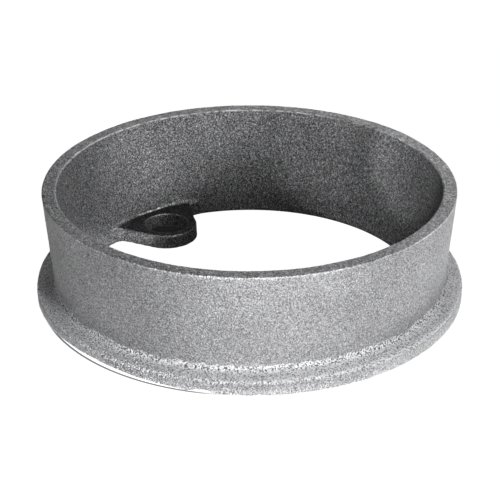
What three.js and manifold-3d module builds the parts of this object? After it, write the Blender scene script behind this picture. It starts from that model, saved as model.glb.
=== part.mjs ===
// Toilet flange: a cast ring with a flared wall, a lip round its foot and two
// inner bolt lugs, and the rubber seal that lies in its machined underside.
//
// Millimetres, +Z up. The origin is the centre of the machined joint face,
// the bolt lugs lie on the X axis, and the wide mouth of the ring is at the top.

import * as THREE from "three";
import { mergeVertices } from "three/addons/utils/BufferGeometryUtils.js";
import Module from "manifold-3d";

// ---------------------------------------------------------------- dimensions

// Facets
const RING_SEGMENTS = 96;
const HOLE_SEGMENTS = 40;
const EDGE_STEPS = 3; // rounding of the lip and rim edges
const BORE_EDGE_STEPS = 2;
const FILLET_STEPS = 6; // lip fillet and lug root fillets
const LUG_NOSE_STEPS = 20; // half a lug's nose
const LUG_ROOT_STEPS = 8; // lug's hidden end, inside the wall

// Ring
const HEIGHT = 33.7; // joint face to rim
const RIM_OUTER_R = 60;
const RIM_INNER_R = 55.9;
const BORE_R = 50; // bore at the joint face
const WALL_OUTER_SLOPE = 0.0737; // radius gained per millimetre of height
const RIM_EDGE_R = 0.6; // rounding of both rim edges
const BORE_EDGE_R = 0.5; // rounding of the bore's lower edge
const BORE_EDGE_SETBACK = 0.05; // that rounding starts this far outside BORE_R

// Lip
const LIP_R = 63.2;
const LIP_TOP_Z = 4.7;
const LIP_EDGE_R = 0.8;
const LIP_FILLET_R = 1.6; // lip into wall
const FOOT_R = 62.1; // outer edge of the joint face
const FOOT_BEVEL_TOP_Z = 1.8;

// Lugs
const LUG_CENTRE_R = 41.5; // nose and bolt hole, from the ring's axis
const LUG_NOSE_R = 9.62;
const LUG_HOLE_R = 6.6;
const LUG_TOP_Z = 4.5;
const LUG_FLARE_DEG = 26; // each flank opens out towards the wall by this angle
const LUG_FILLET_R = 3.2; // flank into wall, in plan
const LUG_WALL_R = 50.6; // circle the fillets run into
const LUG_ROOT_R = 52.6; // hidden end, inside the wall and clear of the groove
const LUG_STEP_HEIGHT = 0.5; // small step that breaks the top edge
const LUG_STEP_INSET = 0.6 * LUG_STEP_HEIGHT;
const LUG_SLAB_OVERLAP = 0.2; // top slab sinks this far into the body

// Seal and its groove
const GROOVE_INNER_R = 54.6;
const GROOVE_OUTER_R = 58.2;
const GROOVE_DEPTH = 2.4;
const SEAL_GAP = 0.3; // clearance on each side of the seal, and above it
const SEAL_BEVEL = 0.45;

const CUT_OVERRUN = 2; // cutters reach this far past the faces they open

// ------------------------------------------------------------------- helpers

const wasm = await Module();
wasm.setup();

const radians = (degrees) => (degrees * Math.PI) / 180;

// Manifold solid from a closed three.js geometry. Normals and UVs go first, so
// that vertices split by them can merge.
function toSolid(geometry) {
  geometry.deleteAttribute("normal");
  geometry.deleteAttribute("uv");
  const merged = mergeVertices(geometry, 1e-4);
  return new wasm.Manifold(
    new wasm.Mesh({
      numProp: 3,
      vertProperties: new Float32Array(merged.attributes.position.array),
      triVerts: new Uint32Array(merged.index.array),
    }),
  );
}

function toGeometry(solid) {
  const mesh = solid.getMesh();
  const positions = new Float32Array(mesh.vertProperties);
  const geometry = new THREE.BufferGeometry();
  geometry.setAttribute("position", new THREE.BufferAttribute(positions, 3));
  geometry.setIndex(new THREE.BufferAttribute(new Uint32Array(mesh.triVerts), 1));
  geometry.computeVertexNormals();
  return geometry;
}

// Points of a plane arc, both ends included.
function arc(centre, radius, fromDeg, toDeg, steps) {
  const points = [];
  for (let i = 0; i <= steps; i++) {
    const angle = radians(fromDeg + ((toDeg - fromDeg) * i) / steps);
    points.push([
      centre[0] + radius * Math.cos(angle),
      centre[1] + radius * Math.sin(angle),
    ]);
  }
  return points;
}

const toVectors = (points) => points.map(([x, y]) => new THREE.Vector2(x, y));

// A ring from a closed (r, z) outline that runs anticlockwise, r to the right
// and z up. Turned about the lathe's Y axis, then stood on Z.
function ringGeometry(outline) {
  const closed = toVectors([...outline, outline[0]]);
  return new THREE.LatheGeometry(closed, RING_SEGMENTS).rotateX(Math.PI / 2);
}

const halfTurn = (solid) => solid.rotate([0, 0, 180]);

// ---------------------------------------------------------------------- ring

// Both faces of the wall lean outwards as they rise.
const wallOuter = (z) => RIM_OUTER_R - WALL_OUTER_SLOPE * (HEIGHT - z);
const wallInner = (z) => BORE_R + ((RIM_INNER_R - BORE_R) * z) / HEIGHT;

function makeRing() {
  const lean = Math.atan(WALL_OUTER_SLOPE);
  const leanDeg = THREE.MathUtils.radToDeg(lean);
  const filletZ = LIP_TOP_Z + LIP_FILLET_R;
  const filletCentre = [wallOuter(filletZ) + LIP_FILLET_R / Math.cos(lean), filletZ];
  const boreEdge = [BORE_R + BORE_EDGE_R + BORE_EDGE_SETBACK, BORE_EDGE_R];
  const lipEdge = [LIP_R - LIP_EDGE_R, LIP_TOP_Z - LIP_EDGE_R];
  const rimZ = HEIGHT - RIM_EDGE_R;
  const outerRimEdge = [wallOuter(rimZ) - RIM_EDGE_R, rimZ];
  const innerRimEdge = [wallInner(rimZ) + RIM_EDGE_R, rimZ];

  // From the bore's lower edge, out under the foot, up the outside, to the rim.
  return toSolid(
    ringGeometry([
      ...arc(boreEdge, BORE_EDGE_R, 180, 270, BORE_EDGE_STEPS),
      [FOOT_R, 0],
      [LIP_R, FOOT_BEVEL_TOP_Z],
      ...arc(lipEdge, LIP_EDGE_R, 0, 90, EDGE_STEPS),
      ...arc(filletCentre, LIP_FILLET_R, 270, 180 - leanDeg, FILLET_STEPS),
      ...arc(outerRimEdge, RIM_EDGE_R, 0, 90, EDGE_STEPS),
      ...arc(innerRimEdge, RIM_EDGE_R, 90, 180, EDGE_STEPS),
    ]),
  );
}

// ---------------------------------------------------------------------- lugs

// Plan of the +X lug: a round nose about the bolt hole, two flanks that flare
// out to the wall, and a fillet where each flank meets it.
function lugPlan(inset) {
  const noseR = LUG_NOSE_R - inset;
  const filletR = LUG_FILLET_R + inset;
  const flare = radians(LUG_FLARE_DEG);
  const normal = new THREE.Vector2(-Math.sin(flare), Math.cos(flare));
  const along = new THREE.Vector2(Math.cos(flare), Math.sin(flare));

  // The fillet's centre lies on a line parallel to the +Y flank, its own radius
  // away, where that line crosses a circle its own radius inside the wall.
  const start = new THREE.Vector2(LUG_CENTRE_R, 0);
  start.addScaledVector(normal, noseR + filletR);
  const reach = LUG_WALL_R - filletR;
  const offset = start.dot(along);
  const travel = -offset + Math.sqrt(offset * offset - start.lengthSq() + reach * reach);
  const centre = start.clone().addScaledVector(along, travel);
  const endDeg = THREE.MathUtils.radToDeg(centre.angle());

  // The +Y half, from the nose's tip to the wall.
  const side = [
    ...arc([LUG_CENTRE_R, 0], noseR, 180, 90 + LUG_FLARE_DEG, LUG_NOSE_STEPS),
    ...arc([centre.x, centre.y], filletR, LUG_FLARE_DEG - 90, endDeg, FILLET_STEPS),
  ];
  // The hidden end follows an arc, so it stays inside the metal.
  const root = arc([0, 0], LUG_ROOT_R, endDeg, -endDeg, LUG_ROOT_STEPS);
  const mirrored = side
    .slice(1)
    .reverse()
    .map(([x, y]) => [x, -y]);
  return toVectors([...side, ...root, ...mirrored]);
}

function lugSlab(inset, bottomZ, topZ) {
  const geometry = new THREE.ExtrudeGeometry(new THREE.Shape(lugPlan(inset)), {
    depth: topZ - bottomZ,
    bevelEnabled: false,
    steps: 1,
  });
  return toSolid(geometry.translate(0, 0, bottomZ));
}

// The lug's body, and a slightly smaller slab on top that breaks its edge.
function makeLug() {
  const stepZ = LUG_TOP_Z - LUG_STEP_HEIGHT;
  const body = lugSlab(0, 0, stepZ);
  return body.add(lugSlab(LUG_STEP_INSET, stepZ - LUG_SLAB_OVERLAP, LUG_TOP_Z));
}

function makeBoltHole() {
  const length = LUG_TOP_Z + 2 * CUT_OVERRUN;
  return toSolid(
    new THREE.CylinderGeometry(LUG_HOLE_R, LUG_HOLE_R, length, HOLE_SEGMENTS)
      .rotateX(Math.PI / 2)
      .translate(LUG_CENTRE_R, 0, LUG_TOP_Z / 2),
  );
}

// ------------------------------------------------------------------- casting

function makeGroove() {
  return toSolid(
    ringGeometry([
      [GROOVE_INNER_R, -CUT_OVERRUN],
      [GROOVE_OUTER_R, -CUT_OVERRUN],
      [GROOVE_OUTER_R, GROOVE_DEPTH],
      [GROOVE_INNER_R, GROOVE_DEPTH],
    ]),
  );
}

function castingGeometry() {
  const lug = makeLug();
  const hole = makeBoltHole();
  return toGeometry(
    makeRing()
      .add(lug)
      .add(halfTurn(lug))
      .subtract(hole)
      .subtract(halfTurn(hole))
      .subtract(makeGroove()),
  );
}

// ---------------------------------------------------------------------- seal

// A rectangular section with bevelled corners, its underside on the joint face.
function sealGeometry() {
  const inner = GROOVE_INNER_R + SEAL_GAP;
  const outer = GROOVE_OUTER_R - SEAL_GAP;
  const top = GROOVE_DEPTH - SEAL_GAP;
  return ringGeometry([
    [inner + SEAL_BEVEL, 0],
    [outer - SEAL_BEVEL, 0],
    [outer, SEAL_BEVEL],
    [outer, top - SEAL_BEVEL],
    [outer - SEAL_BEVEL, top],
    [inner + SEAL_BEVEL, top],
    [inner, top - SEAL_BEVEL],
    [inner, SEAL_BEVEL],
  ]);
}

// ------------------------------------------------------------------ assembly

const castIron = new THREE.MeshStandardMaterial({
  name: "cast_iron",
  color: new THREE.Color(0.33, 0.335, 0.345),
  roughness: 0.62,
  metalness: 0.85,
});
const rubber = new THREE.MeshStandardMaterial({
  name: "seal_rubber",
  color: new THREE.Color(0.03, 0.03, 0.032),
  roughness: 0.8,
  metalness: 0,
});

const flange = new THREE.Group();

function addPiece(name, geometry, material) {
  const mesh = new THREE.Mesh(geometry, material);
  mesh.name = name;
  flange.add(mesh);
}

addPiece("flange_casting", castingGeometry(), castIron);
addPiece("face_seal", sealGeometry(), rubber);

export default flange;
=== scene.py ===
import math
from itertools import combinations, product
from types import SimpleNamespace

import bpy
import numpy as np
from mathutils import Matrix, Vector


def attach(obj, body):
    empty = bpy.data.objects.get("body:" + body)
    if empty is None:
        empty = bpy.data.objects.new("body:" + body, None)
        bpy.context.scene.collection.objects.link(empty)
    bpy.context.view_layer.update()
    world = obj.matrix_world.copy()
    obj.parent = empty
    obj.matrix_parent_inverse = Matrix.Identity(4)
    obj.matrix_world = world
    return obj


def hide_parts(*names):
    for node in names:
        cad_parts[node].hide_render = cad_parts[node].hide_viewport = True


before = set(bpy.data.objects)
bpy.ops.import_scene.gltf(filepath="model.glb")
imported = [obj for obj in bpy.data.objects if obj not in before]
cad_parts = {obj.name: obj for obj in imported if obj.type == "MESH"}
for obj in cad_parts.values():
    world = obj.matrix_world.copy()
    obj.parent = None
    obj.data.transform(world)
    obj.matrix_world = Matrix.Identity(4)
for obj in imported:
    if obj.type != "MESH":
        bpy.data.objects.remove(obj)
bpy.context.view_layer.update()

MM = 0.001

# ----------------------------------------------------------------------------
# Sizes, millimetres
# ----------------------------------------------------------------------------
HEIGHT = 33.7
RIM_OUTER, RIM_INNER, BORE = 60.0, 55.9, 50.0  # radii; the bore's is at the joint face
SLOPE = 0.0737  # lean of the outer wall
LIP_RADIUS, LIP_TOP, LIP_FILLET = 63.2, 4.7, 1.6
FOOT_RADIUS, BEVEL_TOP = 62.1, 1.8
LUG_CENTRE, LUG_NOSE, LUG_HOLE, LUG_TOP = 41.5, 9.62, 6.6, 4.5
LUG_FLARE = math.radians(26)
GROOVE_IN, GROOVE_OUT, GROOVE_DEEP = 54.6, 58.2, 2.4
SEAL_GAP = 0.3  # between the seal and each side of its groove

VIEW_TURN = math.radians(50.5)

# The turned bevel round the foot: its least height, and two places where it is higher,
# each as bearing in the view (degrees), extra height (mm), half width (degrees), power.
BEVEL_LEAST = 0.25
BEVEL_DEEP = (226, 1.60, 25, 2)
BEVEL_NICK = (258.5, 0.80, 2.3, 4)


def in_view(x, y, z):
    """A point of the view frame, in the object's frame."""
    c, s = math.cos(VIEW_TURN), math.sin(VIEW_TURN)
    return Vector((c * x - s * y, s * x + c * y, z))


# ----------------------------------------------------------------------------
# Numeric helpers
# ----------------------------------------------------------------------------
def gradient_noise(points, seed):
    """Noise at points (n, 3), about -1 to 1, the same every run."""
    cell = np.floor(points).astype(np.int64)
    local = points - cell
    fade = local * local * local * (local * (local * 6 - 15) + 10)
    total = np.zeros(len(points))
    for corner in product((0, 1), repeat=3):
        at = cell + corner
        code = (
            at[:, 0] * 374761393
            + at[:, 1] * 668265263
            + at[:, 2] * 2147483647
            + seed * 1274126177
        ) & 0xFFFFFFFF
        code = ((code ^ (code >> 13)) * 1274126177) & 0xFFFFFFFF
        code = (code ^ (code >> 16)) & 0xFFFFFFFF
        # a random unit vector from the two halves of the code
        turn = (code & 0xFFFF) / 65536.0 * 2 * np.pi
        up = ((code >> 16) & 0xFFFF) / 65536.0 * 2 - 1
        flat = np.sqrt(1 - up * up)
        slope = np.stack([flat * np.cos(turn), flat * np.sin(turn), up], 1)
        weight = np.prod(np.where(corner, fade, 1 - fade), axis=1)
        total += weight * (slope * (local - corner)).sum(1)
    return total * 1.5


def polygon_sdf(polygon, x, y):
    """Signed distance from points to a closed polygon, negative inside."""
    polygon = np.asarray(polygon, float)
    shape = np.shape(x)
    px, py = np.ravel(x), np.ravel(y)
    nearest = np.full(px.shape, 1e9)
    inside = np.zeros(px.shape, bool)
    for (ax, ay), (bx, by) in zip(polygon, np.roll(polygon, -1, axis=0)):
        ex, ey = bx - ax, by - ay
        wx, wy = px - ax, py - ay
        t = np.clip((wx * ex + wy * ey) / (ex * ex + ey * ey + 1e-12), 0, 1)
        dx, dy = wx - ex * t, wy - ey * t
        nearest = np.minimum(nearest, dx * dx + dy * dy)
        if ey != 0:
            crosses = (ay > py) != (by > py)
            inside ^= crosses & (px < (ex * (py - ay) / ey + ax))
    distance = np.sqrt(nearest)
    return np.where(inside, -distance, distance).reshape(shape)


def arc(centre_r, centre_z, radius, start, end, steps):
    """Points along an arc, its angles in degrees."""
    angles = np.radians(np.linspace(start, end, steps + 1))
    return [(centre_r + radius * math.cos(a), centre_z + radius * math.sin(a)) for a in angles]


def round_union(a, b, radius):
    """Union of two fields with a fillet of about this radius where they meet."""
    near = np.maximum(radius - np.abs(a - b), 0.0) / radius
    return np.minimum(a, b) - near * near * radius * 0.25


def round_cut(a, b, radius):
    """Intersection of two fields, its edge rounded to about this radius."""
    return -round_union(-a, -b, radius)


# ----------------------------------------------------------------------------
# The casting as a distance field
# ----------------------------------------------------------------------------
def wall_outer(z):
    return RIM_OUTER - SLOPE * (HEIGHT - z)


def wall_inner(z):
    return BORE + (RIM_INNER - BORE) * z / HEIGHT


def ring_outline():
    """Section (r, z) of the as-cast ring, before its foot is turned: the lip runs on down."""
    below = -2.0
    bore_spare, lip_inset, rim_inset = 0.35, 0.02, 0.03
    lip_edge, lip_fall = 1.35, 0.22  # rounding of the lip's edge, and its drop to that edge
    rim_edge = 0.55
    lean = math.degrees(math.atan(SLOPE))
    fillet_z = LIP_TOP + LIP_FILLET
    fillet_r = wall_outer(fillet_z) + LIP_FILLET / math.cos(math.radians(lean))
    rim_z = HEIGHT - rim_inset - rim_edge
    rim_out = wall_outer(HEIGHT - rim_edge) - rim_edge
    rim_in = wall_inner(HEIGHT - rim_edge) + rim_edge
    return [
        (BORE - bore_spare, below),
        (LIP_RADIUS - lip_inset, below),
        *arc(LIP_RADIUS - lip_edge - lip_inset, LIP_TOP - lip_fall - lip_edge, lip_edge, 0, 84, 12),
        *arc(fillet_r, fillet_z, LIP_FILLET, 264, 180 - lean, 16),
        *arc(rim_out, rim_z, rim_edge, 0, 90, 8),
        *arc(rim_in, rim_z, rim_edge, 90, 180, 8),
    ]


def lug_outline():
    """Plan of the +X lug: nose, flared flanks with a fillet at the wall."""
    wall, fillet = 50.6, 3.2
    root = 53.5  # radius of the ends, buried in the wall
    normal = np.array([-math.sin(LUG_FLARE), math.cos(LUG_FLARE)])
    along = np.array([math.cos(LUG_FLARE), math.sin(LUG_FLARE)])
    # slide the fillet's centre along the flank until the fillet touches the wall
    start = np.array([LUG_CENTRE, 0.0]) + normal * (LUG_NOSE + fillet)
    reach = wall - fillet
    back = start @ along
    centre = start + along * (-back + math.sqrt(back * back - start @ start + reach * reach))
    half = []
    for i in range(25):
        a = math.pi - (math.pi / 2 - LUG_FLARE) * i / 24
        half.append((LUG_CENTRE + LUG_NOSE * math.cos(a), LUG_NOSE * math.sin(a)))
    first = math.atan2(-normal[1], -normal[0])
    last = math.atan2(centre[1], centre[0])
    turn = (last - first + 3 * math.pi) % (2 * math.pi) - math.pi
    for i in range(10):
        a = first + turn * i / 9
        half.append((centre[0] + fillet * math.cos(a), centre[1] + fillet * math.sin(a)))
    end = math.atan2(half[-1][1], half[-1][0])
    half.append((root * math.cos(end), root * math.sin(end)))
    return half + [(x, -y) for x, y in reversed(half[1:])]


RING = ring_outline()
LUG = lug_outline()


def angle_from(theta, bearing):
    """Angle from a bearing in the view, -pi to pi."""
    return np.angle(np.exp(1j * (theta - VIEW_TURN - math.radians(bearing))))


def bevel_top(theta):
    """Height of the turned bevel round the foot. The casting sat a little out
    of true in the lathe, so the cut is deep on one side and thin on the other."""
    top = BEVEL_LEAST
    for bearing, extra, width, power in (BEVEL_DEEP, BEVEL_NICK):
        away = angle_from(theta, bearing) / math.radians(width)
        top = top + extra * np.exp(-(away ** power))
    return top


def foot_wave(theta):
    """Unevenness of the foot's edge where the lathe hardly touched it."""
    height, calm_width = 0.075, math.radians(34)
    waves = ((31, 0.4), (47, 2.9), (68, 5.1), (83, 1.7), (101, 4.2))  # waves per turn, phase
    total = sum(np.sin(count * theta + phase) for count, phase in waves)
    away = angle_from(theta, BEVEL_DEEP[0]) / calm_width
    return height * total * (1 - np.exp(-(away ** 4)))


def lug_sdf(x, y, z):
    """Both lugs at once."""
    draft, edge = 0.035, 0.75
    side = polygon_sdf(LUG, np.abs(x), y) + draft * z + edge
    top = z - LUG_TOP + edge
    outside = np.hypot(np.maximum(side, 0), np.maximum(top, 0))
    return outside + np.minimum(np.maximum(side, top), 0) - edge


def casting_sdf(points, ring=None, lug=None):
    """Distance to the casting; the ring's and lugs' own fields may be given ready made."""
    bore_chamfer, hole_draft, foot_inset = 0.45, 0.03, 0.1
    x, y, z = points[..., 0], points[..., 1], points[..., 2]
    r = np.hypot(x, y)
    theta = np.arctan2(y, x)
    if ring is None:
        ring = polygon_sdf(RING, r, z)
    if lug is None:
        lug = lug_sdf(x, y, z)
    # the bore's lower edge, broken by the fettling wheel
    ring = round_cut(ring, (BORE + bore_chamfer - r - z) / math.sqrt(2), radius=0.4)
    body = round_union(ring, lug, radius=1.6)
    # bolt holes, with a soft cast mouth
    hole = LUG_HOLE + hole_draft * np.maximum(z, 0) - np.hypot(np.abs(x) - LUG_CENTRE, y)
    body = round_cut(body, hole, radius=0.7)
    # the turned bevel and joint face
    slope = (LIP_RADIUS - FOOT_RADIUS) / BEVEL_TOP
    stretch = BEVEL_TOP / np.maximum(bevel_top(theta), BEVEL_LEAST)
    cone = r - FOOT_RADIUS - slope * z * stretch + foot_inset - foot_wave(theta)
    body = round_cut(body, cone / math.hypot(1, slope), radius=0.12)
    body = round_cut(body, -z, radius=0.12)
    # groove for the seal
    groove = np.maximum(np.maximum(GROOVE_IN - r, r - GROOVE_OUT), z - GROOVE_DEEP)
    return round_cut(body, -groove, radius=0.15)


def casting_gradient(points):
    step = 0.02
    gradient = np.empty_like(points)
    for axis in range(3):
        shift = np.zeros(3)
        shift[axis] = step
        ahead, behind = casting_sdf(points + shift), casting_sdf(points - shift)
        gradient[:, axis] = (ahead - behind) / (2 * step)
    return gradient


# ----------------------------------------------------------------------------
# The casting's mesh: one vertex per cell of a cylindrical grid that holds surface
# ----------------------------------------------------------------------------
# Stretches of the grid: from, to, step
RADIUS_SPANS = [
    (30.6, 50.0, 0.5), (50.0, 54.4, 0.55), (54.4, 54.8, 0.2), (54.8, 58.0, 0.55),
    (58.0, 58.4, 0.2), (58.4, 61.6, 0.5), (61.6, 63.6, 0.22),
]
HEIGHT_SPANS = [
    (-0.35, 0.35, 0.17), (0.35, 5.3, 0.33), (5.3, 8.3, 0.5), (8.3, 32.3, 0.86),
    (32.3, 34.1, 0.22),
]
# these keep grid lines off the flat faces, so no cell edge lies in a surface
RADIUS_SHIFT, HEIGHT_SHIFT = 0.0137, 0.0071
TURN_COUNT = 432

# The four cells round a grid edge along r, theta and z, as index offsets
CELLS_ROUND_EDGE = (
    ((0, -1, -1), (0, 0, -1), (0, 0, 0), (0, -1, 0)),
    ((-1, 0, -1), (-1, 0, 0), (0, 0, 0), (0, 0, -1)),
    ((-1, -1, 0), (0, -1, 0), (0, 0, 0), (-1, 0, 0)),
)


def grid_lines(spans):
    lines = [spans[0][0]]
    for low, high, step in spans:
        count = max(1, round((high - low) / step))
        lines += list(low + (high - low) * np.arange(1, count + 1) / count)
    return np.array(lines)


def sample_field(radii, turns, heights):
    r, z = np.meshgrid(radii, heights, indexing="ij")
    ring = polygon_sdf(RING, r, z)
    far = np.full(r.shape, 50.0)
    field = np.empty((len(radii), len(turns), len(heights)))
    for j, turn in enumerate(turns):
        points = np.stack([r * math.cos(turn), r * math.sin(turn), z], -1)
        lug = lug_sdf(*np.moveaxis(points, -1, 0)) if abs(math.sin(turn)) < 0.5 else far
        field[:, j, :] = casting_sdf(points, ring, lug)
    return field


def cell_vertices(field, radii, turns, heights):
    """Vertices at the mean of each cell's edge crossings, and the cells' vertex numbers."""
    ahead = np.roll(field, -1, axis=1)
    nr, _, nz = field.shape
    corners = {
        (i, j, k): (field, ahead)[j][i:nr - 1 + i, :, k:nz - 1 + k]
        for i, j, k in product((0, 1), repeat=3)
    }
    negative = sum((value < 0).astype(np.int8) for value in corners.values())
    mixed = (negative > 0) & (negative < 8)
    i, j, k = np.nonzero(mixed)
    numbers = np.full(mixed.shape, -1, np.int64)
    numbers[i, j, k] = np.arange(len(i))

    mean = np.zeros((len(i), 3))
    count = np.zeros(len(i))
    for a, b in combinations(corners, 2):
        edge = np.subtract(b, a)
        if np.abs(edge).sum() != 1:
            continue
        start, end = corners[a][i, j, k], corners[b][i, j, k]
        crosses = (start < 0) != (end < 0)
        part = np.where(crosses, start / np.where(crosses, start - end, 1), 0)
        mean += (np.array(a) + part[:, None] * edge) * crosses[:, None]
        count += crosses
    mean /= count[:, None]
    r = radii[i] + mean[:, 0] * (radii[i + 1] - radii[i])
    angle = turns[j] + mean[:, 1] * (2 * np.pi / len(turns))
    z = heights[k] + mean[:, 2] * (heights[k + 1] - heights[k])
    return np.stack([r * np.cos(angle), r * np.sin(angle), z], 1), numbers


def cell_faces(inside, numbers):
    """One quad round every grid edge that crosses the surface. The first and last planes
    in r and z lie wholly outside the casting, so wrapping round them adds no face."""
    faces = []
    for axis, cells in enumerate(CELLS_ROUND_EDGE):
        i, j, k = np.nonzero(inside != np.roll(inside, -1, axis=axis))
        quads = np.stack([numbers[i + di, j + dj, k + dk] for di, dj, dk in cells], 1)
        flip = ~inside[i, j, k]
        quads[flip] = quads[flip][:, ::-1]
        faces.append(quads)
    return np.concatenate(faces)


def roughen(points, normals):
    """The sand-cast skin: slow waves of the mould, a coarse peel, a few shallow
    pits and nubs. It fades out on the turned faces."""
    waves = ((0.075, 11.0, 11), (0.040, 4.3, 23), (0.045, 1.9, 37))  # height, size, seed
    pit_depth, pit_size, pit_from, pit_seed = 0.11, 2.6, 0.52, 71
    nub_height, nub_size, nub_from, nub_seed = 0.10, 2.1, 0.55, 91
    sink = 0.05
    r = np.hypot(points[:, 0], points[:, 1])
    theta = np.arctan2(points[:, 1], points[:, 0])
    z = points[:, 2]
    # none near the joint face, none on the bevel
    cast = np.clip((z - 0.25) / 0.3, 0, 1)
    cast *= np.clip((z - bevel_top(theta) * 0.85 + (LIP_RADIUS - r) * 1.5) / 0.4, 0, 1)
    height = sum(amount * gradient_noise(points / size, seed) for amount, size, seed in waves)
    pits = gradient_noise(points / pit_size, pit_seed)
    height -= pit_depth * np.clip(pits - pit_from, 0, 1) / (1 - pit_from)
    nubs = gradient_noise(points / nub_size, nub_seed)
    height += nub_height * np.clip(nubs - nub_from, 0, 1) / (1 - nub_from)
    unit = normals / np.linalg.norm(normals, axis=1)[:, None]
    moved = points + unit * ((height - sink) * cast)[:, None]
    # stay inside the solid's box
    shrink = np.minimum(1, (LIP_RADIUS - 0.005) / np.hypot(moved[:, 0], moved[:, 1]))
    moved[:, :2] *= shrink[:, None]
    moved[:, 2] = np.clip(moved[:, 2], 0.0, HEIGHT)
    return moved


def mesh_object(name, points, faces):
    mesh = bpy.data.meshes.new(name)
    rows = [tuple(point) for point in points * MM]
    mesh.from_pydata(rows, [], [tuple(int(v) for v in face) for face in faces])
    mesh.update()
    mesh.polygons.foreach_set("use_smooth", [True] * len(mesh.polygons))
    ob = bpy.data.objects.new(name, mesh)
    bpy.context.scene.collection.objects.link(ob)
    return ob


def make_casting():
    radii = grid_lines(RADIUS_SPANS) + RADIUS_SHIFT
    heights = grid_lines(HEIGHT_SPANS) + HEIGHT_SHIFT
    turns = (np.arange(TURN_COUNT) + 0.5) * 2 * np.pi / TURN_COUNT
    field = sample_field(radii, turns, heights)
    points, numbers = cell_vertices(field, radii, turns, heights)
    # draw the vertices onto the surface
    for _ in range(3):
        gradient = casting_gradient(points)
        steepness = np.maximum((gradient * gradient).sum(1), 0.2)
        points -= gradient * np.clip(casting_sdf(points) / steepness, -0.3, 0.3)[:, None]
    faces = cell_faces(field < 0, numbers)
    points = roughen(points, casting_gradient(points))
    return mesh_object("flange_casting_skin", points, faces)


# ----------------------------------------------------------------------------
# The seal: a moulded rubber ring with rounded corners, lying in its groove
# ----------------------------------------------------------------------------
def make_seal():
    edge, steps, turns = 0.42, 5, 300
    channel = 0.16
    left, right = GROOVE_IN + SEAL_GAP + edge, GROOVE_OUT - SEAL_GAP - edge
    high = GROOVE_DEEP - SEAL_GAP - edge
    # a shallow channel along the sealing side, between two soft lips
    face = [
        (left + (right - left) * t, channel * math.sin(math.pi * t) ** 2)
        for t in np.linspace(0, 1, 9)[1:-1]
    ]
    section = [
        *arc(left, edge, edge, 180, 270, steps),
        *face,
        *arc(right, edge, edge, 270, 360, steps),
        *arc(right, high, edge, 0, 90, steps),
        *arc(left, high, edge, 90, 180, steps),
    ]
    count = len(section)
    points, faces = [], []
    for j in range(turns):
        t = 2 * math.pi * j / turns
        wobble = 0.02 * math.sin(5 * t + 1.0) + 0.012 * math.sin(13 * t)
        points += [((r + wobble) * math.cos(t), (r + wobble) * math.sin(t), z) for r, z in section]
        here, ahead = j * count, (j + 1) % turns * count
        for i in range(count):
            after = (i + 1) % count
            faces.append((here + i, ahead + i, ahead + after, here + after))
    return mesh_object("face_seal_ring", np.array(points), faces)


casting = make_casting()
seal = make_seal()


# ----------------------------------------------------------------------------
# Shader helpers
# ----------------------------------------------------------------------------
FALL = (1.0, 0.0)


class Value:
    """A node's output. Arithmetic on it adds Math nodes."""

    def __init__(self, shader, socket):
        self.shader, self.socket = shader, socket

    def __add__(self, other):
        return self.shader.math("ADD", self, other)

    def __radd__(self, other):
        return self.shader.math("ADD", other, self)

    def __sub__(self, other):
        return self.shader.math("SUBTRACT", self, other)

    def __rsub__(self, other):
        return self.shader.math("SUBTRACT", other, self)

    def __mul__(self, other):
        return self.shader.math("MULTIPLY", self, other)

    def __truediv__(self, other):
        return self.shader.math("DIVIDE", self, other)

    def __pow__(self, other):
        return self.shader.math("POWER", self, other)

    def __abs__(self):
        return self.shader.math("ABSOLUTE", self)


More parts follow.
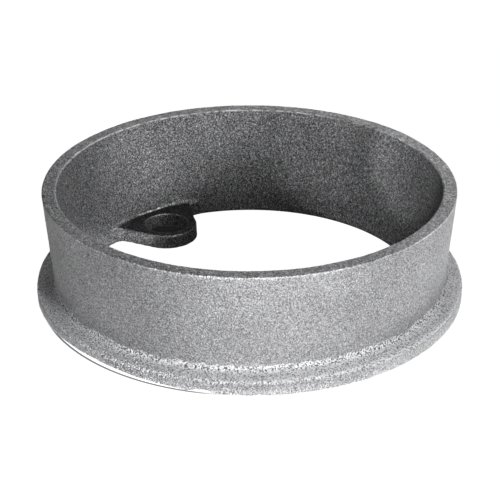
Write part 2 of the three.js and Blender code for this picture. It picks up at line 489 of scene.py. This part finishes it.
class Shader:
    """A material and the means to add nodes to it."""

    def __init__(self, name):
        self.material = bpy.data.materials.new(name)
        self.material.use_nodes = True
        self.tree = self.material.node_tree
        self.tree.nodes.clear()
        self.output = self.tree.nodes.new("ShaderNodeOutputMaterial")

    def put(self, socket, value):
        if isinstance(value, Value):
            self.tree.links.new(value.socket, socket)
        else:
            socket.default_value = value

    def add(self, kind, inputs=None, output=0, **settings):
        node = self.tree.nodes.new("ShaderNode" + kind)
        for key, value in settings.items():
            setattr(node, key, value)
        for key, value in (inputs or {}).items():
            self.put(node.inputs[key], value)
        return Value(self, node.outputs[output])

    def finish(self, surface):
        self.put(self.output.inputs["Surface"], surface)
        return self.material

    def math(self, operation, *values):
        return self.add("Math", dict(enumerate(values)), operation=operation)

    def length(self, x, y):
        return self.math("SQRT", x * x + y * y)

    def separate(self, vector):
        first = self.add("SeparateXYZ", {0: vector})
        return [Value(self, socket) for socket in first.socket.node.outputs]

    def noise(self, vector, scale, detail, rough):
        inputs = {"Vector": vector, "Scale": scale, "Detail": detail, "Roughness": rough}
        return self.add("TexNoise", inputs)

    def ramp(self, value, over, to=(0.0, 1.0), smooth=False):
        """Take the span `over` to the span `to`, held at both ends."""
        inputs = {
            "Value": value, "From Min": over[0], "From Max": over[1],
            "To Min": to[0], "To Max": to[1],
        }
        kind = "SMOOTHSTEP" if smooth else "LINEAR"
        return self.add("MapRange", inputs, interpolation_type=kind, clamp=True)

    def smooth(self, value, over, to=(0.0, 1.0)):
        return self.ramp(value, over, to, smooth=True)

    def mix(self, mask, off, on):
        return self.add("Mix", {0: mask, 2: off, 3: on}, data_type="FLOAT")

    def factor(self, mask, to):
        """A multiplier: `to` under the mask, 1 elsewhere."""
        return self.mix(mask, off=1.0, on=to)

    def grey(self, value, tint=(1.0, 1.0, 1.0)):
        return self.add("CombineColor", {k: value * tint[k] for k in range(3)})

    def bump(self, height, strength, distance, **normal):
        inputs = {"Height": height, "Strength": strength, "Distance": distance}
        return self.add("Bump", {**inputs, **normal})

    def angle_from(self, theta, bearing):
        """Angle from a bearing in the view, -pi to pi."""
        away = theta - (VIEW_TURN + math.radians(bearing) - 2 * math.pi)
        return self.math("ARCTAN2", self.math("SINE", away), self.math("COSINE", away))

    def bell(self, theta, bearing, width, power):
        """1 at a bearing, falling to 0 over about width degrees each side."""
        away = abs(self.angle_from(theta, bearing) / math.radians(width)) ** power
        return self.math("EXPONENT", away * -1.0)


# ----------------------------------------------------------------------------
# Cast iron
# ----------------------------------------------------------------------------
# Brightness of each part, as multiples of the plain skin. The lip, lip side, rim and hole
# multipliers are painted light; the lug, inner foot and lug top ones are painted shade.
INSIDE_TONE, LUG_PAINTED_SHADE, LIP_PAINTED_LIGHT, LIP_SIDE_PAINTED_LIGHT, RIM_PAINTED_LIGHT = 0.82, 0.70, 2.15, 1.38, 1.38
HOLE_PAINTED_LIGHT, INNER_FOOT_PAINTED_SHADE, LUG_TOP_PAINTED_SHADE = 1.35, 0.42, 0.6

# The middle of the wall: its radius at the joint face (mm) and its lean
MID_WALL, MID_WALL_SLOPE = 53.76, 0.1244


def cast_grain(m, co):
    """Grain of the blasted skin."""
    return SimpleNamespace(
        fine=m.noise(co, scale=3300.0, detail=1.0, rough=0.5),
        mid=m.noise(co, scale=1700.0, detail=2.0, rough=0.55),
        coarse=m.noise(co, scale=420.0, detail=2.0, rough=0.5),
        broad=m.noise(co, scale=60.0, detail=3.0, rough=0.55),
        dots=m.add(
            "TexVoronoi", {"Vector": co, "Scale": 2400.0, "Randomness": 1.0}, "Distance",
            feature="F1",
        ),
    )


def cast_places(m, co, grain):
    """Coordinates in millimetres, and masks for the parts of the casting."""
    at = SimpleNamespace()
    at.x, at.y, z = m.separate(co)
    at.z = z * 1000.0
    at.r = m.length(at.x, at.y) * 1000.0
    at.theta = m.math("ARCTAN2", at.y, at.x)

    # where the foot was turned: below the bevel's ragged upper edge
    top = BEVEL_LEAST
    for bearing, extra, width, power in (BEVEL_DEEP, BEVEL_NICK):
        top = top + m.bell(at.theta, bearing, width, power) * extra
    edge = m.noise(co, scale=260.0, detail=3.0, rough=0.6)
    ragged = top + (edge - 0.5) * 0.75
    below = m.ramp(ragged - at.z, over=(0.0, 0.10))
    bevel = below * m.ramp(at.r, over=(61.2, 61.6))
    at.turned = m.math("MAXIMUM", bevel, m.ramp(at.z, over=(0.02, 0.06), to=FALL))

    at.mid_wall = MID_WALL + at.z * MID_WALL_SLOPE
    inside = m.smooth(at.mid_wall - at.r, over=(-0.6, 0.6))
    at.inside = inside * m.smooth(at.z, over=(33.0, 33.6), to=FALL)
    # the lip's mask ends unevenly, by the coarse grain
    uneven = (grain.coarse - 0.5) * 3.0
    lip = m.smooth(at.z + uneven, over=(4.9, 6.9), to=FALL)
    at.lip = lip * (1.0 - at.inside)
    at.low = at.inside * m.smooth(at.z, over=(4.8, 6.6), to=FALL)
    at.nz = m.separate(m.add("NewGeometry", output="Normal"))[2]
    return at


def skin_tone(m, co, grain, at):
    """Brightness of the speckled skin with its painted light and shade, before the painted edge
    highlights, and the lip's grains.
    """
    v = m.ramp(grain.fine, over=(0.28, 0.72), to=(0.13, 0.63))
    v = v * m.ramp(grain.mid, over=(0.30, 0.70), to=(0.66, 1.34))
    # the inside is darker, its grain harsher: squared, then lifted
    v = m.mix(at.inside, off=v, on=v * v * 2.3)
    v = v * m.ramp(grain.broad, over=(0.35, 0.65), to=(0.92, 1.08))
    v = v * m.factor(at.inside, to=INSIDE_TONE)

    # painted light: the lip is brightened, and its top is speckled with painted lit and shaded
    # grains
    side = v * LIP_SIDE_PAINTED_LIGHT
    speck = m.noise(co, scale=2500.0, detail=0.0, rough=0.5) * 0.6 + grain.mid * 0.4
    dark = m.smooth(at.z, over=(4.75, 5.1), to=(0.18, 0.05))
    light = m.smooth(at.z, over=(4.75, 5.3), to=(1.0, 0.66))
    grains = m.ramp(speck, over=(0.42, 0.56), to=(dark, light))
    on_top = m.smooth(at.z, over=(3.5, 4.3))
    v = m.mix(at.lip, off=v, on=m.mix(on_top, off=side, on=grains * LIP_PAINTED_LIGHT))

    # painted light: the rim's top face is brightened
    v = v * m.smooth(at.z, over=(32.9, 33.5), to=(1.0, RIM_PAINTED_LIGHT))
    rim_noise = m.noise(co, scale=1150.0, detail=1.0, rough=0.5)
    rim_grain = m.ramp(rim_noise, over=(0.36, 0.64), to=(0.70, 1.30))
    v = v * m.factor(m.smooth(at.z, over=(33.0, 33.5)), to=rim_grain)

    # painted shade: the lugs and the corners round them, low in the bore, are darkened
    from_lug = abs(at.x * 1000.0) - LUG_CENTRE
    across = at.y * 1000.0
    boss = at.low * m.smooth(m.length(from_lug, across), over=(10.5, 14.0), to=FALL)
    v = v * m.factor(boss, to=LUG_PAINTED_SHADE)
    # painted light: the wall of each bolt hole is brightened
    v = v * m.ramp(m.length(from_lug, across), over=(6.9, 7.5), to=(HOLE_PAINTED_LIGHT, 1.0))
    # painted shade: the lower part of the bore's far side, as the camera sees it, is darkened
    foot = at.inside * m.smooth(at.z, over=(2.0, 14.0), to=FALL)
    foot = foot * m.bell(at.theta, bearing=95, width=50, power=4.0)
    v = v * m.factor(foot, to=INNER_FOOT_PAINTED_SHADE)
    # painted shade: the upward-facing tops of the lugs are darkened
    painted_top_shade = at.low * m.smooth(at.nz, over=(0.75, 0.92))
    return v * m.factor(painted_top_shade, to=LUG_TOP_PAINTED_SHADE), grains


def painted_edge_glints(m, co, grain, at, grains):
    """Masks of painted highlights on the sloped rounds of the rim and lugs, found by the slope of
    the surface.
    """
    slanted = m.smooth(at.nz, over=(0.25, 0.45)) * m.smooth(at.nz, over=(0.62, 0.85), to=FALL)
    glint_mask = slanted * m.ramp(grain.mid, over=(0.42, 0.56), to=(0.25, 1.0))
    lug = glint_mask * at.low * m.ramp(grains, over=(0.3, 0.9), to=(0.15, 1.0))
    # the outer edge of the rim
    rim = glint_mask * (m.ramp(at.z, over=(32.9, 33.1)) * (1.0 - at.inside))
    rim = rim * m.ramp(at.r - at.mid_wall, over=(0.5, 1.0))
    # and, in broken dashes, the inner edge of the rim
    bore = m.smooth(at.nz, over=(0.10, 0.30)) * m.smooth(at.nz, over=(0.70, 0.90), to=FALL)
    dashes = m.noise(co, scale=620.0, detail=1.0, rough=0.5)
    bore = bore * m.ramp(dashes, over=(0.40, 0.52), to=(0.1, 1.0))
    bore = bore * m.ramp(at.z, over=(32.9, 33.1))
    bore = bore * m.ramp(at.mid_wall - at.r, over=(0.9, 1.3))
    return SimpleNamespace(lug=lug, rim=rim, bore=bore)


def cast_normal(m, co, grain, at):
    """Grain in relief on the skin, and tool marks on the turned faces."""
    relief = grain.fine * 0.55 + grain.mid * 0.75 + grain.coarse * 0.5 + grain.dots * 0.25
    skin = m.bump(relief, strength=m.mix(at.turned, off=0.85, on=0.04), distance=0.00020)
    # coarser, sharper grain on the lip and rim
    heavy = m.noise(co, scale=1500.0, detail=1.0, rough=0.5) + grain.fine * 0.4
    rim = m.smooth(at.z, over=(32.9, 33.4), to=(0.0, 0.6))
    strength = m.math("MAXIMUM", at.lip, rim) * m.factor(at.turned, to=0.0)
    skin = m.bump(heavy, strength, distance=0.00075, Normal=skin)
    # fine rings about the axis: 26 radians of wave to the millimetre, out and up alike
    rings = m.math("SINE", (at.r + at.z * 1.0) * 26.0)
    return m.bump(rings, strength=at.turned * 0.25, distance=0.00002, Normal=skin)


def cast_material():
    m = Shader("cast_iron_skin")
    co = m.add("TexCoord", output="Object")
    grain = cast_grain(m, co)
    at = cast_places(m, co, grain)
    v, grains = skin_tone(m, co, grain, at)
    glints = painted_edge_glints(m, co, grain, at, grains)

    # painted highlights: near-white colour on the glinting rounds of the rim and lugs
    v = m.mix(glints.bore, off=v, on=0.95)
    v = m.mix(glints.lug * 0.55, off=v, on=0.75)
    v = m.mix(glints.rim, off=v, on=0.97)
    v = m.math("MINIMUM", v, 0.97)
    skin = m.grey(v, tint=(0.995, 0.995, 1.015))
    squashed = m.add("VectorMath", {0: co, 1: (1.0, 1.0, 8.0)}, operation="MULTIPLY")
    bare = m.noise(squashed, scale=700.0, detail=2.0, rough=0.5)
    bare = m.grey(m.ramp(bare, over=(0.3, 0.7), to=(0.74, 0.88)))
    colour = m.add("Mix", {0: at.turned, 6: skin, 7: bare}, output=2, data_type="RGBA")

    skin_rough = m.ramp(grain.mid, over=(0.3, 0.7), to=(0.60, 0.46))
    rough = m.mix(at.turned, off=skin_rough, on=0.34)
    rough = m.mix(glints.bore, off=rough, on=0.34)
    rough = m.mix(m.math("MAXIMUM", glints.rim, glints.lug * 0.6), off=rough, on=0.36)
    lip_metal = m.smooth(at.z, over=(3.6, 4.3), to=(0.80, 0.40))
    metal = m.mix(at.lip, off=0.85, on=lip_metal)
    metal = m.mix(at.turned, off=metal, on=0.95)
    return m.finish(m.add("BsdfPrincipled", {
        "Base Color": colour, "Roughness": rough, "Metallic": metal,
        "Normal": cast_normal(m, co, grain, at),
    }))


def rubber_material():
    m = Shader("seal_rubber")
    co = m.add("TexCoord", output="Object")
    fine = m.noise(co, scale=2600.0, detail=3.0, rough=0.6)
    broad = m.noise(co, scale=180.0, detail=3.0, rough=0.55)
    v = m.ramp(fine, over=(0.3, 0.7), to=(0.018, 0.034))
    v = v * m.ramp(broad, over=(0.3, 0.7), to=(0.85, 1.3))
    return m.finish(m.add("BsdfPrincipled", {
        "Base Color": m.grey(v, tint=(1.0, 1.0, 1.04)),
        "Roughness": m.ramp(broad, over=(0.3, 0.7), to=(0.55, 0.75)),
        "Normal": m.bump(fine, strength=0.35, distance=0.00005),
    }))


# ----------------------------------------------------------------------------
# The table, lit paper to the camera. Its material works in metres.
# ----------------------------------------------------------------------------
FOOT_LINE = 0.06  # the hairline of shade where the turned foot meets the table
FOOT_LINE_RADIUS = 0.06235
FOOT_WHITE = 1.1  # the lit table just outside the foot, seen in the turned bevel
FLOOR_BOUNCE, BORE_BOUNCE = 0.85, 0.40  # light the table gives back, outside and in the bore
CAMERA_GREY = 0.05  # the table's own colour to the camera, under its glow
FLOOR_GLOW = 1.0  # how white the table looks to the camera
TABLE_NEAR, TABLE_FAR = 0.0, 0.0  # the table's light on the object
TABLE_LEFT, TABLE_RIGHT = 0.22, 0.675  # and more of it on these sides of the view
GAP_AT, GAP_GLOW = (-42.0, 16.0), 2.6  # lit paper beside the lug, view frame, mm
HOLE_EDGE = (0.0086, 0.0092)  # fade of the shade in the lugs' holes, from their centres
LIT_FROM, NEAR_END = (0.0622, 0.066), (0.085, 0.11)  # fades of the table's light


def table_glow(m, co, x, y, r, from_hole):
    """How bright the table looks: the lugs' holes and a hairline at the foot are in shade."""
    hole_noise = m.noise(co, scale=1700.0, detail=2.0, rough=0.55)
    dim = m.ramp(hole_noise, over=(0.38, 0.62), to=(0.0, 0.012))
    shade = m.mix(m.ramp(from_hole, over=HOLE_EDGE), off=dim, on=1.0)
    line = m.smooth(abs(r - FOOT_LINE_RADIUS), over=(0.00012, 0.00045), to=(FOOT_LINE, 1.0))
    # the hairline shows only round the deep side of the bevel
    away = abs(m.angle_from(m.math("ARCTAN2", y, x), BEVEL_DEEP[0] + 6))
    ends = m.smooth(away, over=(math.radians(22), math.radians(34)))
    return shade * m.mix(ends, off=line, on=1.0) * FLOOR_GLOW


def table_light(m, x, y, r):
    """The light the table throws on the object."""
    near = m.smooth(r, over=LIT_FROM, to=(0.0, TABLE_NEAR)) * m.smooth(r, over=NEAR_END, to=FALL)
    lit = near + m.smooth(r, over=NEAR_END, to=(0.0, TABLE_FAR))
    across = x * math.cos(VIEW_TURN) + y * math.sin(VIEW_TURN)
    ring = m.smooth(r, over=LIT_FROM) * m.smooth(r, over=(0.12, 0.20), to=FALL)
    left = m.smooth(across, over=(-0.045, 0.0), to=(TABLE_LEFT, 0.0))
    right = m.smooth(across, over=(0.0, 0.045), to=(0.0, TABLE_RIGHT))
    lit = lit + ring * (left + right)
    # only rays that set out close to the foot see this
    ray = m.add("LightPath", output="Ray Length")
    close = m.ramp(ray, over=(0.0022, 0.0030), to=(FOOT_WHITE, 0.0))
    lit = m.math("MAXIMUM", lit, close * m.ramp(r, over=(0.0615, 0.0620)))
    # the lit paper in the gap beside the seen lug
    gap_x, gap_y, _ = in_view(GAP_AT[0] * MM, GAP_AT[1] * MM, 0)
    gap = m.smooth(m.length(x - gap_x, y - gap_y), over=(0.004, 0.013), to=(GAP_GLOW, 0.0))
    return lit + gap * m.ramp(r, over=(0.0485, 0.0495), to=FALL)


def floor_material():
    m = Shader("studio_floor")
    co = m.add("TexCoord", output="Object")
    camera = m.add("LightPath", output="Is Camera Ray")
    x, y, _ = m.separate(co)
    r = m.length(x, y)
    from_hole = m.length(abs(x) - LUG_CENTRE * MM, y)
    glow = table_glow(m, co, x, y, r, from_hole)

    v = m.ramp(m.noise(co, scale=6.0, detail=3.0, rough=0.5), over=(0.3, 0.7), to=(0.0, 0.02))
    bounce = m.ramp(r, over=(0.0500, 0.0510), to=(BORE_BOUNCE, FLOOR_BOUNCE))
    v = v + m.mix(camera, off=bounce, on=CAMERA_GREY)
    # painted shade: the table inside the lugs' holes is darker to the camera
    v = v * m.factor(camera, to=m.ramp(from_hole, over=HOLE_EDGE, to=(0.1, 1.0)))
    paper = m.add("BsdfPrincipled", {
        "Base Color": m.grey(v), "Roughness": 0.95, "Emission Color": (1, 1, 1, 1),
        "Emission Strength": m.mix(camera, off=table_light(m, x, y, r), on=glow),
    })

    # open from below, and under the metal itself, so the underside can be seen
    back = m.add("NewGeometry", output="Backfacing")
    ring = m.ramp(r, over=(0.0507, 0.0508)) * m.ramp(r, over=(0.0617, 0.0618), to=FALL)
    boss = m.ramp(from_hole, over=(0.0072, 0.0073))
    boss = boss * m.ramp(from_hole, over=(0.0089, 0.0090), to=FALL)
    clear = m.math("MAXIMUM", m.math("MAXIMUM", ring, boss), back * camera)
    return m.finish(m.add("MixShader", {0: clear, 1: paper, 2: m.add("BsdfTransparent")}))


casting.data.materials.append(cast_material())
seal.data.materials.append(rubber_material())

for ob, node, slot in (
    (casting, "flange_casting", "cast_iron"),
    (seal, "face_seal", "seal_rubber"),
):
    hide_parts(node)
    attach(ob, "root")


def make_floor():
    half, drop = 6.0, 0.0001
    mesh = bpy.data.meshes.new("floor")
    square = [(-half, -half, 0), (half, -half, 0), (half, half, 0), (-half, half, 0)]
    mesh.from_pydata(square, [], [(0, 1, 2, 3)])
    floor = bpy.data.objects.new("floor", mesh)
    floor.location = (0, 0, -drop)
    mesh.materials.append(floor_material())
    bpy.context.scene.collection.objects.link(floor)
    return floor


make_floor()

# ----------------------------------------------------------------------------
# Lights, in the view frame. Bearing 0 is to the view's right, -90 towards the camera.
# ----------------------------------------------------------------------------
# name, bearing and elevation (degrees), distance (m), target (mm), cone (degrees), watts
SPOTS = [
    ("into_right", -140, 20, 0.40, (36, 41, 22), 9.0, 1.15),
    ("into_far", -120, 24, 0.42, (50, 24, 27), 5.0, 5.5),
    ("into_left", -20, 21, 0.42, (-48, 22, 8), 11.0, 2.3),
]
# name, bearing and elevation (degrees), distance, width and height (m), watts
AREAS = [
    ("main_mid", -67, 11, 0.45, 0.05, 0.05, 0.43),
    ("sun_a", -67, 32, 0.50, 0.05, 0.05, 0.22),
    ("sun_b", -67, 48, 0.50, 0.05, 0.05, 0.57),
    ("front_low", -89, 3.8, 0.36, 0.30, 0.036, 0.57),
    ("front_left", -112, 4, 0.38, 0.12, 0.03, 0.16),
    ("back_rim", 62, 28, 0.35, 0.16, 0.10, 0.060),
    ("back_rim_mid", 87, 24, 0.80, 0.20, 0.16, 0.55),
    ("back_rim_left", 106, 25, 0.38, 0.14, 0.08, 0.005),
    ("back_right", 35, 20, 0.45, 0.16, 0.10, 0.065),
]
AREA_TARGET = (0, 0, 0.012)


def polar(bearing, elevation, distance):
    a, e = math.radians(bearing), math.radians(elevation)
    flat = distance * math.cos(e)
    return flat * math.cos(a), flat * math.sin(a), distance * math.sin(e)


def add_light(name, kind, place, target, **settings):
    data = bpy.data.lights.new(name, kind)
    for key, value in settings.items():
        setattr(data, key, value)
    ob = bpy.data.objects.new(name, data)
    bpy.context.scene.collection.objects.link(ob)
    ob.location = in_view(*place)
    aim = in_view(*target) - ob.location
    ob.rotation_euler = aim.to_track_quat("-Z", "Y").to_euler()
    ob.visible_camera = False


def add_area(name, place, target, width, height, power):
    add_light(name, "AREA", place, target,
              energy=power, shape="RECTANGLE", size=width, size_y=height)


for name, bearing, elevation, distance, target, cone, power in SPOTS:
    add_light(name, "SPOT", polar(bearing, elevation, distance), [v * MM for v in target],
              energy=power, spot_size=math.radians(cone), spot_blend=0.6,
              shadow_soft_size=0.003)
for name, bearing, elevation, distance, width, height, power in AREAS:
    add_area(name, polar(bearing, elevation, distance), AREA_TARGET, width, height, power)
# below the table, for looks at the underside only
add_area("under_fill", place=(0.05, -0.08, -0.28), target=(0, 0, 0),
         width=0.22, height=0.22, power=1.2)


# ----------------------------------------------------------------------------
# World and camera
# ----------------------------------------------------------------------------
WORLD_LIGHT = 0.0  # what the white world gives the object; the camera sees it at full


def make_world():
    world = bpy.data.worlds.new("studio")
    world.use_nodes = True
    tree = world.node_tree
    background = tree.nodes["Background"]
    background.inputs["Color"].default_value = (1, 1, 1, 1)
    seen = tree.nodes.new("ShaderNodeMath")
    seen.operation = "MAXIMUM"
    seen.inputs[1].default_value = WORLD_LIGHT
    path = tree.nodes.new("ShaderNodeLightPath")
    tree.links.new(path.outputs["Is Camera Ray"], seen.inputs[0])
    tree.links.new(seen.outputs[0], background.inputs["Strength"])
    bpy.context.scene.world = world


def make_camera():
    eye = in_view(0.000118, -0.384243, 0.207511)
    down, roll = 0.472897929, -0.00160161  # radians
    forward = in_view(0, math.cos(down), -math.sin(down))
    up = in_view(0, math.sin(down), math.cos(down))
    right = in_view(1, 0, 0)
    right, up = (
        math.cos(roll) * right + math.sin(roll) * up,
        -math.sin(roll) * right + math.cos(roll) * up,
    )
    data = bpy.data.cameras.new("camera")
    data.sensor_width = 36.0
    data.lens = 104.51232
    data.clip_start = 0.01
    camera = bpy.data.objects.new("camera", data)
    bpy.context.scene.collection.objects.link(camera)
    pose = Matrix((right, up, -forward)).transposed().to_4x4()
    pose.translation = eye
    camera.matrix_world = pose
    bpy.context.scene.camera = camera


make_world()
make_camera()
bpy.context.scene.view_settings.view_transform = "Standard"
